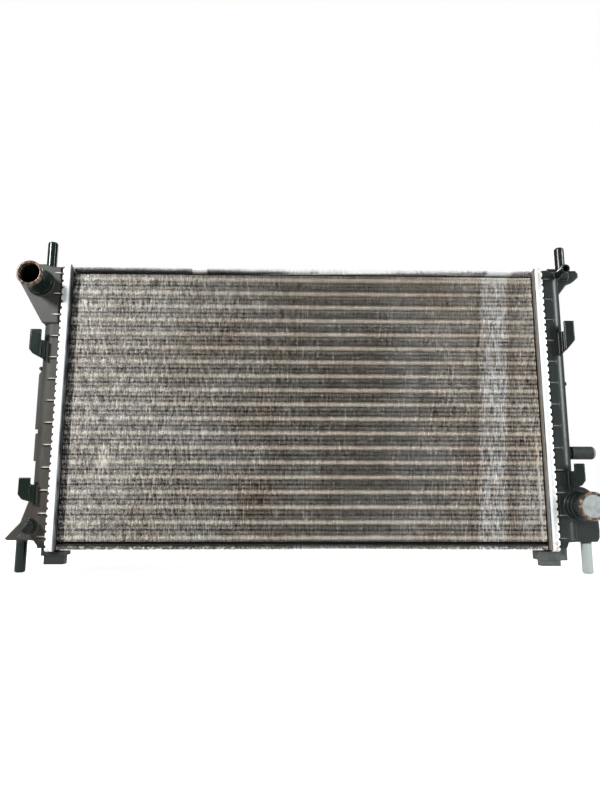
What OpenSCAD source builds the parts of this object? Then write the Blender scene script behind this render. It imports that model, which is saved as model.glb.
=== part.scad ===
// Cross-flow car radiator: a plate-fin aluminium core on round tubes, crimped between two moulded end tanks.
// X runs across the car, +Y to the air inlet side, Z is up. The fan side, with the hose spigots, faces -Y.
// Shapes are laid out about the middle of the core; placed() then puts the origin on the lower left pin.

/* [Core] */
// Width of the finned core between the two headers
core_w = 600; // [500:10:700]
// Height of the fin plates
core_h = 359; // [340:1:380]
// Depth of the fin plates from front to rear
core_d = 26; // [24:1:30]
// Outside diameter of a coolant tube
tube_d = 8; // [7:0.5:8]
// Wall thickness of a coolant tube
tube_wall = 0.4; // [0.3:0.1:0.6]
// Distance between neighbouring tubes of one row
tube_pitch = 18.3; // [17:0.1:18.3]
// Tubes in the front row; the rear row has one fewer, half a pitch lower
front_tube_count = 19; // [15:2:19]
// Distance between the two tube rows
row_spacing = 12; // [11:0.5:13]
// Distance between neighbouring fin plates
fin_pitch = 10; // [10:5:20]
// Thickness of a fin plate
fin_t = 0.5; // [0.3:0.1:1]

/* [Headers] */
// Depth of a header from front to rear
header_d = 42; // [40:1:46]
// Width of the header's rim, from the core to the crimped edge
header_rim = 10; // [10:0.5:12]
// Thickness of the header's sheet
header_t = 1.6; // [1.2:0.1:1.8]
// Distance between neighbouring crimp tabs
tab_pitch = 9; // [8:0.5:12]

/* [Tanks] */
// How far the left tank reaches outward from the core
left_tank_reach = 34.5; // [34:0.5:36]
// How far the right tank reaches outward from the core
right_tank_reach = 37.7; // [36.7:0.5:38.7]
// Radius of the tank's two long outer edges
tank_edge_r = 14; // [10:1:15]
// Wall thickness of a tank
tank_wall = 2.8; // [2.2:0.1:3.2]
// Distance between neighbouring stiffening ribs
rib_pitch = 27.7; // [24:0.1:30]
// Diameter of a locating pin
pin_d = 13; // [11:0.5:14]
// Length of the upper left locating pin
upper_left_pin_len = 37.2; // [25.2:1:40.2]
// Length of the upper right locating pin
upper_right_pin_len = 32; // [25:1:40]
// Length of a lower locating pin
lower_pin_len = 38.6; // [25.6:1:40.6]

/* [Hoses] */
// Outside diameter of the inlet spigot's bead
inlet_d = 32; // [30:0.5:34]
// Outside diameter of the outlet spigot's bead
outlet_d = 34; // [31:0.5:35]
// Wall thickness of the two hose spigots
spigot_wall = 2.4; // [2:0.1:2.6]
// Outside diameter of the vent spigot's bead
vent_d = 11.4; // [10:0.2:13]
// Bore of the vent spigot
vent_bore = 7.6; // [5:0.2:8]

/* [Drain] */
// Diameter of the drain plug's head
drain_head_d = 16; // [16:0.5:18]
// Diameter of the drain plug's threaded shank
drain_shank_d = 9; // [8:0.5:9]
// Radial clearance of the shank in its bore
drain_clearance = 0.05; // [0.03:0.01:0.1]

/* [Hidden] */
$fn = 48;

half_w = core_w / 2;
half_h = core_h / 2;
fit = 0.05;
cut = 1;
black_plastic = [0.13, 0.14, 0.14];
dusty_plastic = [0.30, 0.29, 0.27];
bright_metal = [0.93, 0.93, 0.92];
fin_metal = [0.60, 0.57, 0.53];
rubber = [0.07, 0.07, 0.07];

// Core
tube_r = tube_d / 2;
front_row_y = -row_spacing / 2;
rear_row_y = row_spacing / 2;
front_row_z = [for (i = [0:front_tube_count - 1]) (i - (front_tube_count - 1) / 2) * tube_pitch];
rear_row_z = [for (i = [0:front_tube_count - 2]) (i - (front_tube_count - 2) / 2) * tube_pitch];
tube_end_x = half_w + 5;
turbulator_t = 0.4;
fin_count = floor(core_w / fin_pitch);
end_fin_count = 2;
first_fin_x = -(fin_count - 1) * fin_pitch / 2;
slot_bottom = half_h - 9.8;
slot_h = 4;
slot_back_y = core_d / 2 - 4;
side_plate_t = 0.8;
side_plate_front_y = -7;

// Headers, as distances outward from the core and from its middle
header_half_d = header_d / 2;
header_half_h = half_h + 2;
lip_t = header_t;
lip_reach = 2.6;
pocket_half_d = header_half_d - header_t;
pocket_half_h = header_half_h - header_t;
tab_l = 5.4;
tab_h = 1.2;
tab_count = floor(2 * pocket_half_h / tab_pitch);

// Gasket
gasket_t = 1.5;
sleeve_r = tube_r + 1;

// Tank body
foot_x = half_w + header_t + gasket_t;
foot_top_x = half_w + header_rim - lip_t;
body_half_d = pocket_half_d - lip_reach;
body_half_h = pocket_half_h - lip_reach;
shoulder_x = half_w + header_rim + tab_h + 0.3;
left_wall_x = half_w + left_tank_reach;
right_wall_x = half_w + right_tank_reach;
left_neck_x = half_w + 26;
right_neck_x = half_w + 23.5;
neck_slope_h = 6;
rib_l = 11;
rib_t = 1.8;
rib_h = 1.6;
rib_count = 2 * floor(body_half_h / rib_pitch - 0.5) + 1;

// Hose spigots, as places on the fan side of the tanks
inlet_x = half_w + 38.6;
inlet_z = half_h - 25;
inlet_mouth_y = -56;
outlet_x = half_w + 37;
outlet_z = -(half_h - 53);
outlet_mouth_y = -58;
vent_x = half_w + 33;
vent_z = half_h - 7;
vent_mouth_y = -41;

// Locating pins
pin_r = pin_d / 2;
upper_left_pin = [half_w + 34, 0, half_h + 0.8];
upper_right_pin = [half_w + 44.5, 0, half_h + 5];
lower_left_pin = [half_w + 46, 0, -(half_h - 11)];
lower_right_pin = [half_w + 52, 0, -(half_h - 9)];

// Drain
drain_x = half_w + 30.6;
drain_z = -(half_h - 28);
drain_boss_r = 9.5;
drain_boss_y = -24;
drain_seat_r = 7.2;
drain_seat_depth = 3;
drain_shank_r = drain_shank_d / 2;
drain_shank_l = 13;
drain_head_t = 5;
drain_wing_l = 21;
drain_wing_h = 7;
drain_wing_t = 3.4;
drain_wing_angle = 50;
seal_section_r = (drain_seat_r - fit - drain_shank_r - fit) / 2;
seal_ring_r = drain_shank_r + fit + seal_section_r;

// Blanked stub on the right tank
stub_z = -(half_h - 119.5);
stub_r = 6;
stub_end_x = half_w + 69;
cap_r = 8.3;
cap_wall = cap_r - stub_r;
cap_end_x = stub_end_x + 2;
cap_edge_r = 4;

// Tongues that carry the condenser clips
tongue_half_d = 5;
tongue_l = 3.2;
tongue_bottom = -(half_h + 6);

// Rails on the left tank
rail_y = 3;
rail_half_t = 1.2;
rail_ball_r = 2.7;

module placed() {
    translate([lower_left_pin[0], -lower_left_pin[1], -lower_left_pin[2]]) children();
}

// Everything for the left end is drawn on the right and mirrored.
module at_end(side) {
    mirror([side == "left" ? 1 : 0, 0, 0]) children();
}

module box(low, high) {
    translate(low) cube(high - low);
}

// A flat outline in X and Z, given its thickness from front_y to back_y
module front_outline(front_y, back_y) {
    translate([0, back_y, 0]) rotate([90, 0, 0]) linear_extrude(back_y - front_y) children();
}

module rod_x(r, x0, x1, y, z) {
    translate([x0, y, z]) rotate([0, 90, 0]) cylinder(r = r, h = x1 - x0);
}

module rod_y(r, y0, y1, x, z) {
    translate([x, y1, z]) rotate([90, 0, 0]) cylinder(r = r, h = y1 - y0);
}

// ---- Core ----

module fin_outline() {
    difference() {
        translate([-core_d / 2, -half_h]) square([core_d, core_h]);
        for (z = front_row_z) translate([front_row_y, z]) circle(tube_r + fit);
        for (z = rear_row_z) translate([rear_row_y, z]) circle(tube_r + fit);
        for (s = [-1, 1])
            translate([-core_d / 2 - cut, s * (slot_bottom + slot_h / 2) - slot_h / 2])
                square([slot_back_y + core_d / 2 + cut, slot_h]);
    }
}

module fin_group(first, last) {
    color(fin_metal)
        for (i = [first:last])
            translate([first_fin_x + i * fin_pitch - fin_t / 2, 0, 0])
                rotate([90, 0, 90]) linear_extrude(fin_t) fin_outline();
}

module tube_row(y, heights) {
    color(bright_metal)
        for (z = heights)
            difference() {
                rod_x(tube_r, -tube_end_x, tube_end_x, y, z);
                rod_x(tube_r - tube_wall, -tube_end_x - cut, tube_end_x + cut, y, z);
            }
}

module turbulator_row(y, heights) {
    w = 2 * (tube_r - tube_wall - 2 * fit);
    color([0.75, 0.73, 0.68])
        for (z = heights)
            box([-half_w, y - turbulator_t / 2, z - w / 2], [half_w, y + turbulator_t / 2, z + w / 2]);
}

module side_plate(s) {
    low = s * (slot_bottom + slot_h / 2) - slot_h / 2 + fit;
    high = low + slot_h - 2 * fit;
    color(bright_metal)
        difference() {
            box([-half_w, side_plate_front_y, low], [half_w, slot_back_y - fit, high]);
            box([-half_w - cut, side_plate_front_y - cut, low + side_plate_t],
                [half_w + cut, slot_back_y - side_plate_t, high - side_plate_t]);
        }
}

// ---- Headers and gaskets ----

module tube_pattern(r, x0, x1) {
    for (z = front_row_z) rod_x(r, x0, x1, front_row_y, z);
    for (z = rear_row_z) rod_x(r, x0, x1, rear_row_y, z);
}

module header(side) {
    rim_x = half_w + header_rim;
    color(bright_metal)
        at_end(side) {
            difference() {
                box([half_w, -header_half_d, -header_half_h], [rim_x, header_half_d, header_half_h]);
                box([half_w + header_t, -pocket_half_d, -pocket_half_h],
                    [rim_x - lip_t, pocket_half_d, pocket_half_h]);
                box([rim_x - lip_t - cut, -body_half_d - fit, -body_half_h - fit],
                    [rim_x + cut, body_half_d + fit, body_half_h + fit]);
                tube_pattern(sleeve_r + fit, half_w - cut, half_w + header_t + cut);
            }
            for (i = [0:tab_count - 1], s = [-1, 1]) {
                z = (i - (tab_count - 1) / 2) * tab_pitch;
                box([rim_x, s * (header_half_d - 1) - 1, z - tab_l / 2],
                    [rim_x + tab_h, s * (header_half_d - 1) + 1, z + tab_l / 2]);
            }
        }
}

module gasket(side) {
    color(rubber)
        at_end(side)
            difference() {
                union() {
                    box([half_w + header_t, -pocket_half_d + fit, -pocket_half_h + fit],
                        [foot_x, pocket_half_d - fit, pocket_half_h - fit]);
                    tube_pattern(sleeve_r, half_w, half_w + header_t + fit);
                }
                tube_pattern(tube_r + fit, half_w - cut, foot_x + cut);
            }
}

// ---- Tanks ----

// The D-shaped section of a tank in X and Y; inset is 0 for the outside and the wall for the open hollow
module tank_section(wall_x, inset) {
    r = tank_edge_r - inset;
    half_d = body_half_d - inset;
    start_x = inset > 0 ? foot_x - cut : foot_x;
    end_x = wall_x - inset;
    translate([start_x, -half_d]) square([end_x - r - start_x, 2 * half_d]);
    translate([end_x - r, r - half_d]) square([r, 2 * (half_d - r)]);
    for (s = [-1, 1]) translate([end_x - r, s * (half_d - r)]) circle(r);
}

// The tank's outline seen from the front: its lower end narrows to the neck, beside the locating pin
module tank_outline(wall_x, neck_x, pin_z, inset) {
    low = -body_half_h + inset;
    polygon([
        [half_w - cut, low], [shoulder_x + 9.5 - inset, low],
        [shoulder_x + 9.5 - inset, pin_z - neck_slope_h + inset], [neck_x - inset, pin_z + inset],
        [wall_x + cut, pin_z + inset], [wall_x + cut, body_half_h - inset], [half_w - cut, body_half_h - inset],
    ]);
}

module tank_prism(wall_x, neck_x, pin_z, inset) {
    intersection() {
        translate([0, 0, -half_h]) linear_extrude(core_h) tank_section(wall_x, inset);
        front_outline(-header_half_d, header_half_d) tank_outline(wall_x, neck_x, pin_z, inset);
    }
}

// The widening that carries a hose spigot: round above the spigot, with straight flanks to the tank above and below
module housing_outline(x, z, r, rise, foot, inset, top) {
    intersection() {
        union() {
            intersection() {
                translate([x, z]) circle(r - inset);
                translate([x - r, z]) square([2 * r, r]);
            }
            polygon([
                [half_w + 14 + inset, z + rise - inset], [x + 0.4 * r, z + 0.9 * (r - inset)],
                [x + r - inset, z], [foot[0] - inset, foot[1] + inset], [half_w + 14 + inset, foot[1] + inset],
            ]);
        }
        translate([half_w + 12, foot[1]]) square([80, top - inset - foot[1]]);
    }
}

module rib_set(lift) {
    for (i = [0:rib_count - 1], s = [-1, 1]) {
        z = (i - (rib_count - 1) / 2) * rib_pitch + lift;
        box([shoulder_x, s * body_half_d - (s < 0 ? rib_h : 1), z - rib_t / 2],
            [shoulder_x + rib_l, s * body_half_d + (s < 0 ? 1 : rib_h), z + rib_t / 2]);
    }
}

module locating_pin(place, length, up) {
    chamfer = 1.5;
    translate(place) rotate([up > 0 ? 0 : 180, 0, 0]) {
        translate([0, 0, -4]) cylinder(r = pin_r, h = length - chamfer + 4);
        translate([0, 0, length - chamfer]) cylinder(r1 = pin_r, r2 = pin_r - chamfer, h = chamfer);
    }
}

// A hose spigot along -Y from the tank to its mouth: a bead at the mouth, and rings at distances behind it
module hose_spigot(x, z, root_y, mouth_y, bead_r, rings) {
    r = bead_r - 1;
    l = root_y - mouth_y;
    translate([x, root_y, z]) rotate([90, 0, 0])
        rotate_extrude() {
            square([r, l]);
            square([bead_r + 0.6, 6]);
            polygon([[0, 6], [bead_r + 0.6, 6], [r, 9], [0, 9]]);
            polygon([[r - 1, l - 7], [r, l - 7], [bead_r, l - 4.5], [bead_r, l - 1.5], [bead_r - 0.6, l], [0, l]]);
            for (d = rings) translate([0, l - d - 1.5]) square([bead_r, 1.5]);
        }
}

// An upright hook that takes a tab of the fan frame in the slot beside its arm. The arm is thin and stands in front
// of the tank, on a deeper root.
module fan_hook(root_x, arm_x, arm_w, low_z, high_z, arm_bottom) {
    end_x = arm_x + arm_w;
    root_top = low_z + 18;
    front_outline(-27, -23)
        polygon([[arm_x, high_z], [end_x, high_z], [end_x, low_z + 6], [end_x - 5, low_z], [arm_x, arm_bottom]]);
    front_outline(-24, -11)
        polygon([
            [root_x, root_top], [arm_x + 1, root_top], [arm_x + 1, low_z + 10], [end_x, low_z + 10],
            [end_x, low_z + 6], [end_x - 5, low_z], [arm_x, arm_bottom], [root_x, arm_bottom - 4],
        ]);
}

// The lower ear, which widens the tank to the locating pin; its underside is flat where the pin leaves it
module left_ear() {
    tip_x = half_w + 64;
    pin_z = lower_left_pin[2];
    front_outline(-9, 9)
        polygon([
            [shoulder_x + 3, -104], [left_wall_x - 2, -104], [tip_x - 17.5, pin_z + 21], [tip_x, pin_z + 2],
            [tip_x - 3, pin_z], [shoulder_x + 3, pin_z],
        ]);
}

module right_ear() {
    pin_z = lower_right_pin[2];
    front_outline(-9, 9)
        polygon([
            [shoulder_x + 3, -130], [half_w + 63, -130], [half_w + 66, -145], [half_w + 66.5, -157],
            [half_w + 66, pin_z + 5], [half_w + 63, pin_z], [shoulder_x + 3, pin_z],
        ]);
}

module clip_tongue() {
    box([shoulder_x, -tongue_half_d, tongue_bottom],
        [shoulder_x + tongue_l, tongue_half_d, -body_half_h + 4]);
}

module tank_base(wall_x, neck_x, pin_z, rib_lift) {
    box([foot_x, -pocket_half_d + fit, -pocket_half_h + fit],
        [foot_top_x, pocket_half_d - fit, pocket_half_h - fit]);
    tank_prism(wall_x, neck_x, pin_z, 0);
    rib_set(rib_lift);
    clip_tongue();
}

// Two flat rails that stand out of the left tank's outer wall, the upper one with a ball at its end
module left_rails() {
    front_outline(rail_y - rail_half_t, rail_y + rail_half_t)
        polygon([
            [left_wall_x - 2, -32], [left_wall_x + 7, -32], [left_wall_x + 7, 39], [left_wall_x + 3.5, 45],
            [left_wall_x - 2, 45],
        ]);
    box([left_wall_x - 2, rail_y - rail_half_t, -72], [left_wall_x + 5.9, rail_y + rail_half_t, -37]);
    translate([left_wall_x + 4.8, rail_y, 47]) sphere(r = rail_ball_r);
}

module inlet_housing(inset) {
    front_outline(-19 + inset, body_half_d - inset)
        housing_outline(inlet_x, inlet_z, 26.1, 22, [left_wall_x - 0.5, half_h - 77.5], inset, upper_left_pin[2]);
}

module left_tank() {
    color(dusty_plastic)
        at_end("left")
            difference() {
                union() {
                    tank_base(left_wall_x, left_neck_x, lower_left_pin[2], 2);
                    inlet_housing(0);
                    hose_spigot(inlet_x, inlet_z, -18, inlet_mouth_y, inlet_d / 2, []);
                    box([shoulder_x + 4, -9, half_h - 8], [half_w + 43, 9, upper_left_pin[2]]);
                    locating_pin(upper_left_pin, upper_left_pin_len, 1);
                    left_ear();
                    locating_pin(lower_left_pin, lower_pin_len, -1);
                    fan_hook(left_wall_x - 9, half_w + 30.9, 13.5, 60, 91.7, 56);
                    fan_hook(left_wall_x - 9, half_w + 30.9, 13.5, -119.7, -93.6, -122);
                    rod_y(drain_boss_r, drain_boss_y, 0, drain_x, drain_z);
                    left_rails();
                }
                tank_prism(left_wall_x, left_neck_x, lower_left_pin[2], tank_wall);
                inlet_housing(tank_wall);
                rod_y(inlet_d / 2 - 1 - spigot_wall, inlet_mouth_y - cut, 0, inlet_x, inlet_z);
                rod_y(drain_shank_r + drain_clearance, drain_boss_y - cut, -4, drain_x, drain_z);
                rod_y(drain_seat_r, drain_boss_y - cut, drain_boss_y + drain_seat_depth, drain_x, drain_z);
            }
}

module vent_ear() {
    front_outline(-2, 8)
        polygon([
            [shoulder_x + 8, half_h + 5], [half_w + 64.6, half_h + 5], [half_w + 67.9, half_h + 0.5],
            [half_w + 67.4, half_h - 4.4], [half_w + 61.8, half_h - 9.4], [half_w + 52, half_h - 13.6],
            [half_w + 36.9, half_h - 32.8], [shoulder_x + 8, half_h - 40],
        ]);
}

module outlet_housing(inset) {
    front_outline(-19 + inset, body_half_d - inset)
        housing_outline(outlet_x, outlet_z, 24, 24, [half_w + 59.5, outlet_z - 18], inset, outlet_z + 40);
}

module right_tank() {
    color(black_plastic)
        at_end("right")
            difference() {
                union() {
                    tank_base(right_wall_x, right_neck_x, lower_right_pin[2], 0);
                    outlet_housing(0);
                    hose_spigot(outlet_x, outlet_z, -18, outlet_mouth_y, outlet_d / 2, [8, 11, 24]);
                    hose_spigot(vent_x, vent_z, -8, vent_mouth_y, vent_d / 2, []);
                    vent_ear();
                    box([shoulder_x + 12, -8, half_h - 8], [half_w + 52, 8, upper_right_pin[2]]);
                    locating_pin(upper_right_pin, upper_right_pin_len, 1);
                    right_ear();
                    locating_pin(lower_right_pin, lower_pin_len, -1);
                    fan_hook(right_wall_x - 9, half_w + 32.4, 12.5, 76, 107.4, 68);
                    fan_hook(right_wall_x - 9, half_w + 32.4, 12.5, -102, -74.8, -104);
                    rod_x(stub_r, right_wall_x - 6, stub_end_x, 0, stub_z);
                    rod_x(2.6, right_wall_x - 6, right_wall_x + 3.8, 0, 30);
                }
                tank_prism(right_wall_x, right_neck_x, lower_right_pin[2], tank_wall);
                outlet_housing(tank_wall);
                rod_y(outlet_d / 2 - 1 - spigot_wall, outlet_mouth_y - cut, 0, outlet_x, outlet_z);
                rod_y(vent_bore / 2, vent_mouth_y - cut, 0, vent_x, vent_z);
            }
}

// ---- Small parts ----

// Clip that hangs on a tank's tongue, under the end of the header, and holds the condenser's foot. Its outer
// part rises to the tank, and its foot, below step_z, is narrower.
module condenser_clip(side, inner_x, outer_x, step_z, bottom_z) {
    top_z = -header_half_h - 0.2;
    tank_z = -body_half_h - fit;
    color(black_plastic)
        at_end(side)
            difference() {
                union() {
                    box([inner_x, -12, step_z], [outer_x, 12, top_z]);
                    box([shoulder_x, -12, top_z - 1], [outer_x, 12, tank_z]);
                    box([half_w - 10, -11, bottom_z], [half_w + 14, 1, step_z + 1]);
                }
                box([shoulder_x - fit, -tongue_half_d - fit, tongue_bottom - fit],
                    [shoulder_x + tongue_l + fit, tongue_half_d + fit, tank_z + cut]);
            }
}

module drain_plug() {
    head_y = drain_boss_y - 0.1;
    color(black_plastic)
        at_end("left") {
            rod_y(drain_shank_r, head_y, head_y + drain_shank_l, drain_x, drain_z);
            rod_y(drain_head_d / 2, head_y - drain_head_t, head_y, drain_x, drain_z);
            translate([drain_x, head_y - drain_head_t, drain_z]) rotate([0, drain_wing_angle, 0])
                translate([-drain_head_d / 2 + 1, -drain_wing_h, -drain_wing_t / 2])
                    cube([drain_wing_l, drain_wing_h + 1, drain_wing_t]);
        }
}

module drain_seal() {
    color(rubber)
        at_end("left")
            translate([drain_x, drain_boss_y + drain_seat_depth - seal_section_r - 0.2, drain_z])
                rotate([90, 0, 0]) rotate_extrude() translate([seal_ring_r, 0]) circle(seal_section_r);
}

module blanking_cap() {
    start_x = right_wall_x + 3.3;
    l = cap_end_x - start_x;
    color(rubber)
        translate([start_x, 0, stub_z]) rotate([0, 90, 0])
            difference() {
                rotate_extrude() {
                    square([cap_r, l - cap_edge_r]);
                    square([cap_r - cap_edge_r, l]);
                    translate([cap_r - cap_edge_r, l - cap_edge_r]) circle(cap_edge_r);
                }
                translate([0, 0, -cut]) cylinder(r = cap_r - cap_wall + fit, h = stub_end_x - start_x + cut + fit);
            }
}

module outlet_transport_plug() {
    bore_r = outlet_d / 2 - 1 - spigot_wall;
    color([0.66, 0.68, 0.67])
        translate([outlet_x, outlet_mouth_y, outlet_z]) rotate([-90, 0, 0])
            difference() {
                translate([0, 0, 1]) cylinder(r = bore_r - fit, h = 12);
                translate([0, 0, 3]) cylinder(r = bore_r - 2, h = 12);
            }
}

placed() left_tank();
placed() right_tank();
placed() header("left");  // left_header
placed() header("right");  // right_header
placed() gasket("left");  // left_gasket
placed() gasket("right");  // right_gasket
placed() tube_row(front_row_y, front_row_z);  // front_tubes
placed() tube_row(rear_row_y, rear_row_z);  // rear_tubes
placed() turbulator_row(front_row_y, front_row_z);  // front_turbulators
placed() turbulator_row(rear_row_y, rear_row_z);  // rear_turbulators
placed() fin_group(end_fin_count, fin_count - 1 - end_fin_count);  // fins
placed() fin_group(0, end_fin_count - 1);  // left_end_fins
placed() fin_group(fin_count - end_fin_count, fin_count - 1);  // right_end_fins
placed() side_plate(1);  // upper_side_plate
placed() side_plate(-1);  // lower_side_plate
placed() condenser_clip("left", half_w - 10, half_w + 17.5, -(half_h + 7), -(half_h + 17.3));  // left_condenser_clip
placed() condenser_clip("right", half_w - 11.5, half_w + 22.3, -(half_h + 12.8), -(half_h + 19.5));  // right_condenser_clip
placed() drain_plug();
placed() drain_seal();
placed() blanking_cap();
placed() outlet_transport_plug();
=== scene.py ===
"""The looks of a cross-flow car radiator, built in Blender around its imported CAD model."""
import math

import bmesh
import bpy
import numpy as np
from mathutils import Matrix, Vector


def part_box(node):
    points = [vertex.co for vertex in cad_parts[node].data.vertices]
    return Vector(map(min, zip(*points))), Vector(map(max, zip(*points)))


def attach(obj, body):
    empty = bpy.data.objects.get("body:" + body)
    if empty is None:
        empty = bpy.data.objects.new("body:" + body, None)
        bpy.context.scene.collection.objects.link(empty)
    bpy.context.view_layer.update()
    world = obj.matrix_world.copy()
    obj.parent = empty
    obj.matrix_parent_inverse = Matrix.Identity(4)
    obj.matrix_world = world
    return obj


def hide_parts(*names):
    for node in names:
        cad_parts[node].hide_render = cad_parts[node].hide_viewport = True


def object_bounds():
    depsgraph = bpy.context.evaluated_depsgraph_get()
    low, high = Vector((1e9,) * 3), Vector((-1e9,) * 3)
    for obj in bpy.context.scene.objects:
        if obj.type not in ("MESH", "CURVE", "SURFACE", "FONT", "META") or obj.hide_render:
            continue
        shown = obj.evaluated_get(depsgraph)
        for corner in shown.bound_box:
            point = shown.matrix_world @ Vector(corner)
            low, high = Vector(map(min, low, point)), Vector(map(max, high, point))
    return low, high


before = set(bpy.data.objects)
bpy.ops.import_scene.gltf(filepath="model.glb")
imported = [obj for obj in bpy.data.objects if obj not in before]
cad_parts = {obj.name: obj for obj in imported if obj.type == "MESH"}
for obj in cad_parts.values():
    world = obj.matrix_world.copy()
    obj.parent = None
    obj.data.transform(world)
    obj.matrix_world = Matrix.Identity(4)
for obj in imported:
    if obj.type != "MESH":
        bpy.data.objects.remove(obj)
CAD_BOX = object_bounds()
MM = 0.001

# Places read from the CAD model
HEADER_LOW, HEADER_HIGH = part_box("right_header")
CORE_LOW = Vector((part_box("left_header")[1].x, *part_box("fins")[0].yz))
CORE_HIGH = Vector((HEADER_LOW.x, *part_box("fins")[1].yz))
CENTRE = (CORE_LOW + CORE_HIGH) / 2
HALF_W = (CORE_HIGH.x - CORE_LOW.x) / 2
HALF_D = (CORE_HIGH.y - CORE_LOW.y) / 2
HALF_H = (CORE_HIGH.z - CORE_LOW.z) / 2
FRONT_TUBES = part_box("front_tubes")
TUBE_R = (FRONT_TUBES[1].y - FRONT_TUBES[0].y) / 2
FRONT_ROWS = 19
TUBE_PITCH = (FRONT_TUBES[1].z - FRONT_TUBES[0].z - 2 * TUBE_R) / (FRONT_ROWS - 1)
ROW_Y = CENTRE.y - (FRONT_TUBES[0].y + FRONT_TUBES[1].y) / 2


# ---- Camera, light and floor ----

def place_camera():
    """The camera of the photograph, from where it stood before the middle of the core."""
    yaw = math.radians(-1.154)
    pitch = math.radians(9.49)
    roll = math.radians(0.086)
    right = Vector((math.cos(yaw), math.sin(yaw), 0))
    level = Vector((-math.sin(yaw), math.cos(yaw), 0))
    forward = level * math.cos(pitch) + Vector((0, 0, math.sin(pitch)))
    up = right.cross(forward)
    rolled_right = right * math.cos(roll) + up * math.sin(roll)
    rolled_up = up * math.cos(roll) - right * math.sin(roll)
    data = bpy.data.cameras.new("camera")
    data.lens = 27.03
    data.sensor_width = 36
    data.clip_start = 0.01
    camera = bpy.data.objects.new("camera", data)
    turn = Matrix((rolled_right, rolled_up, -forward)).transposed().to_4x4()
    place = CENTRE + Vector((-20.64, -760.9, -119.52)) * MM
    camera.matrix_world = Matrix.Translation(place) @ turn
    bpy.context.scene.collection.objects.link(camera)
    bpy.context.scene.camera = camera


def softbox(name, offset, width, height, power, tone):
    """An area light that faces the middle of the core."""
    data = bpy.data.lights.new(name, "AREA")
    data.shape = "RECTANGLE"
    data.size = width
    data.size_y = height
    data.energy = power
    data.color = tone
    light = bpy.data.objects.new(name, data)
    light.location = CENTRE + Vector(offset)
    light.rotation_euler = (-Vector(offset)).to_track_quat("-Z", "Y").to_euler()
    bpy.context.scene.collection.objects.link(light)


def light_studio():
    scene = bpy.context.scene
    scene.view_settings.view_transform = "Standard"
    world = bpy.data.worlds.new("studio")
    world.use_nodes = True
    tree = world.node_tree
    seen = node(tree, "ShaderNodeLightPath").outputs["Is Camera Ray"]
    strength = span(tree, seen, 0, 1, 0.34, 1.0)
    tree.links.new(strength, tree.nodes["Background"].inputs["Strength"])
    tree.nodes["Background"].inputs["Color"].default_value = (1, 1, 1, 1)
    scene.world = world
    softbox("key_light", (-1.5, -1.6, 0.9), 0.4, 0.4, 100, (1.0, 0.99, 0.98))
    softbox("fill_light", (1.95, -1.0, 0.55), 0.2, 1.3, 62, (0.90, 0.96, 1.0))
    softbox("overhead_light", (0.0, -0.1, 2.2), 1.8, 1.8, 16, (1.0, 1.0, 1.0))
    softbox("rear_light", (0.4, 1.6, 1.0), 1.0, 1.0, 20, (1.0, 1.0, 1.0))


def lay_floor():
    half = 0.9
    z = CAD_BOX[0][2]
    corners = [(-half, -half, z), (half, -half, z), (half, half, z), (-half, half, z)]
    mesh = bpy.data.meshes.new("floor")
    mesh.from_pydata([Vector(c) + Vector((CENTRE.x, CENTRE.y, 0)) for c in corners], [], [(0, 1, 2, 3)])
    floor = bpy.data.objects.new("floor", mesh)
    bpy.context.scene.collection.objects.link(floor)
    paint = plain_material("floor_paint", (0.55, 0.55, 0.55), 0.9)
    shader = paint.node_tree.nodes["Principled BSDF"]
    shader.inputs["Emission Color"].default_value = (1, 1, 1, 1)
    shader.inputs["Emission Strength"].default_value = 0.58
    floor.data.materials.append(paint)


# ---- Materials ----

def node(tree, kind, values=None, **settings):
    """Adds a shader node, with values for its sockets; a socket given as a value is linked."""
    made = tree.nodes.new(kind)
    for key, value in settings.items():
        setattr(made, key, value)
    for key, value in (values or {}).items():
        if isinstance(value, bpy.types.NodeSocket):
            tree.links.new(value, made.inputs[key])
        else:
            made.inputs[key].default_value = value
    return made


def new_material(name):
    material = bpy.data.materials.new(name)
    material.use_nodes = True
    tree = material.node_tree
    shader = tree.nodes["Principled BSDF"]
    coords = node(tree, "ShaderNodeTexCoord").outputs["Object"]
    return material, tree, shader, coords


def noise(tree, coords, size, detail=4.0, stretch=(1, 1, 1)):
    """Noise with features of about that size in metres, longer where stretch is above 1."""
    scale = tuple(1 / (size * s) for s in stretch)
    moved = node(tree, "ShaderNodeMapping", {"Vector": coords, "Scale": scale})
    made = node(tree, "ShaderNodeTexNoise",
                {"Vector": moved.outputs[0], "Scale": 1.0, "Detail": detail, "Roughness": 0.6})
    return made.outputs["Fac"]


def span(tree, value, low, high, start=0.0, end=1.0):
    """Takes value from low..high to start..end, and stays there outside it."""
    values = {"Value": value, "From Min": low, "From Max": high, "To Min": start, "To Max": end}
    return node(tree, "ShaderNodeMapRange", values).outputs["Result"]


def mix(tree, share, first, second):
    """A colour that goes from first to second as share goes from 0 to 1."""
    values = {0: share, 6: rgba(first), 7: rgba(second)}
    return node(tree, "ShaderNodeMix", values, data_type="RGBA").outputs[2]


def rgba(colour):
    return colour if isinstance(colour, bpy.types.NodeSocket) else (*colour, 1)


def maths(tree, operation, first, second):
    return node(tree, "ShaderNodeMath", {0: first, 1: second}, operation=operation).outputs[0]


def ramp(tree, value, stops):
    """Takes value through stops of (place, tone) or (place, colour), from the lowest place to the highest."""
    made = node(tree, "ShaderNodeValToRGB", {0: value})
    elements = made.color_ramp.elements
    while len(elements) < len(stops):
        elements.new(0.5)
    for element, (place, tone) in zip(elements, stops):
        element.position = place
        element.color = (*tone, 1) if isinstance(tone, tuple) else (tone, tone, tone, 1)
    return made.outputs[0]


def bump(tree, shader, height, distance):
    made = node(tree, "ShaderNodeBump", {"Height": height, "Distance": distance, "Strength": 1.0})
    tree.links.new(made.outputs[0], shader.inputs["Normal"])


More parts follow.
